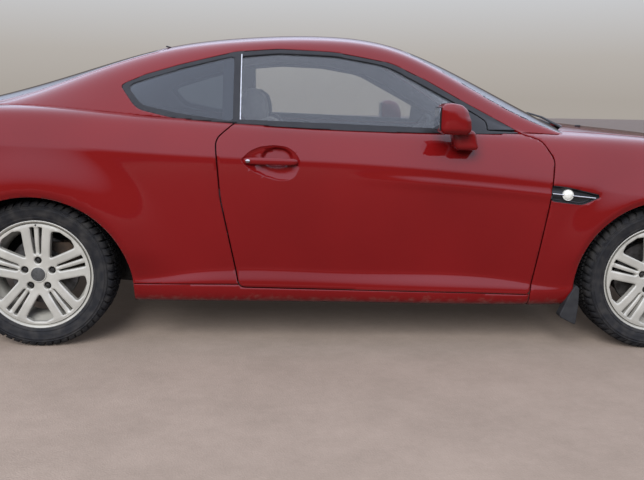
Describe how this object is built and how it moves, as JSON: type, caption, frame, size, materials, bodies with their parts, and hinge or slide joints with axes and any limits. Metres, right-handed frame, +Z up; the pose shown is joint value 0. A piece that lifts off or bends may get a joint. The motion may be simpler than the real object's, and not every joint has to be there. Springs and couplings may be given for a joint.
{
  "type": "coupe car",
  "caption": "Two-door hatchback coupe car with opening doors, hood and tailgate, steered front wheels, spoked alloy wheels, glazed cabin and seats",
  "frame": {"origin": "On the ground plane under the middle of the car's bounding box.", "axes": "+X points to the car's front, +Y to its left side and +Z up."},
  "size_m": [4.3947, 2.02, 1.3003],
  "materials": {
    "body_paint": "deep crimson clear-coated gloss paint",
    "glass": "grey tinted automotive glass",
    "black_plastic": "grained black plastic",
    "lamp_clear": "clear lamp lens over bright reflectors",
    "lamp_red": "red lamp lens",
    "alloy": "silver lacquered cast alloy",
    "tyre": "black rubber with winter tread",
    "chassis": "dark painted and weathered steel",
    "engine": "cast alloy engine block",
    "exhaust": "stainless steel pipe",
    "trim": "soft dark grey cabin trim",
    "seat_cloth": "dark grey woven seat cloth"
  },
  "bodies": {
    "root": {"roof_and_pillars": "body_paint", "body_side_left": "body_paint", "body_side_right": "body_paint", "fender_left": "body_paint", "fender_right": "body_paint", "cowl_and_bulkhead": "black_plastic", "front_bumper": "body_paint", "grille": "black_plastic", "rear_bumper": "body_paint", "headlamps": "lamp_clear", "tail_lamps": "lamp_red", "windscreen": "glass", "quarter_windows": "glass", "side_vents": "black_plastic", "floor_pan": "chassis", "front_wheelhouses": "black_plastic", "rear_wheelhouses": "black_plastic", "front_subframe": "chassis", "rear_suspension": "chassis", "engine_block": "engine", "exhaust": "exhaust", "mud_flaps": "black_plastic", "dashboard": "trim", "steering_wheel": "trim", "front_seat_left": "seat_cloth", "front_seat_right": "seat_cloth", "rear_seat": "seat_cloth"},
    "door_left_body": {"door_left": "body_paint", "door_fittings_left": "body_paint", "door_glass_left": "glass"},
    "door_right_body": {"door_right": "body_paint", "door_fittings_right": "body_paint", "door_glass_right": "glass"},
    "hood_body": {"hood": "body_paint"},
    "tailgate_body": {"tailgate": "body_paint", "tailgate_glass": "glass"},
    "knuckle_left_body": {"front_knuckle_left": "chassis"},
    "knuckle_right_body": {"front_knuckle_right": "chassis"},
    "front_wheel_left_body": {"front_wheel_left": "alloy", "front_tyre_left": "tyre"},
    "front_wheel_right_body": {"front_wheel_right": "alloy", "front_tyre_right": "tyre"},
    "rear_wheel_left_body": {"rear_wheel_left": "alloy", "rear_tyre_left": "tyre"},
    "rear_wheel_right_body": {"rear_wheel_right": "alloy", "rear_tyre_right": "tyre"}
  },
  "joints": [
    {"name": "door_left_hinge", "type": "hinge", "parent": "root", "child": "door_left_body", "pos_m": [0.7515, 0.85, 0.6], "axis": [-0.1483, 0, -0.9889], "range_deg": [0, 62]},
    {"name": "door_right_hinge", "type": "hinge", "parent": "root", "child": "door_right_body", "pos_m": [0.7515, -0.85, 0.6], "axis": [0.1483, 0, 0.9889], "range_deg": [0, 62]},
    {"name": "hood_hinge", "type": "hinge", "parent": "root", "child": "hood_body", "pos_m": [0.86, 0, 0.866], "axis": [0, -1, 0], "range_deg": [0, 50]},
    {"name": "tailgate_hinge", "type": "hinge", "parent": "root", "child": "tailgate_body", "pos_m": [-0.776, 0, 1.247], "axis": [0, 1, 0], "range_deg": [0, 62]},
    {"name": "steer_left", "type": "hinge", "parent": "root", "child": "knuckle_left_body", "pos_m": [1.2825, 0.69, 0.19], "axis": [0, -0.2152, 0.9766], "range_deg": [-35, 35]},
    {"name": "steer_right", "type": "hinge", "parent": "root", "child": "knuckle_right_body", "pos_m": [1.2825, -0.69, 0.19], "axis": [0, 0.2152, 0.9766], "range_deg": [-35, 35]},
    {"name": "front_wheel_left_spin", "type": "hinge", "parent": "knuckle_left_body", "child": "front_wheel_left_body", "pos_m": [1.2825, 0.745, 0.3], "axis": [0, 1, 0], "continuous": true},
    {"name": "front_wheel_right_spin", "type": "hinge", "parent": "knuckle_right_body", "child": "front_wheel_right_body", "pos_m": [1.2825, -0.745, 0.3], "axis": [0, 1, 0], "continuous": true},
    {"name": "rear_wheel_left_spin", "type": "hinge", "parent": "root", "child": "rear_wheel_left_body", "pos_m": [-1.2475, 0.745, 0.3], "axis": [0, 1, 0], "continuous": true},
    {"name": "rear_wheel_right_spin", "type": "hinge", "parent": "root", "child": "rear_wheel_right_body", "pos_m": [-1.2475, -0.745, 0.3], "axis": [0, 1, 0], "continuous": true}
  ],
  "couplings": [
    {"joint": "steer_right", "follows": "steer_left", "ratio": 1}
  ]
}
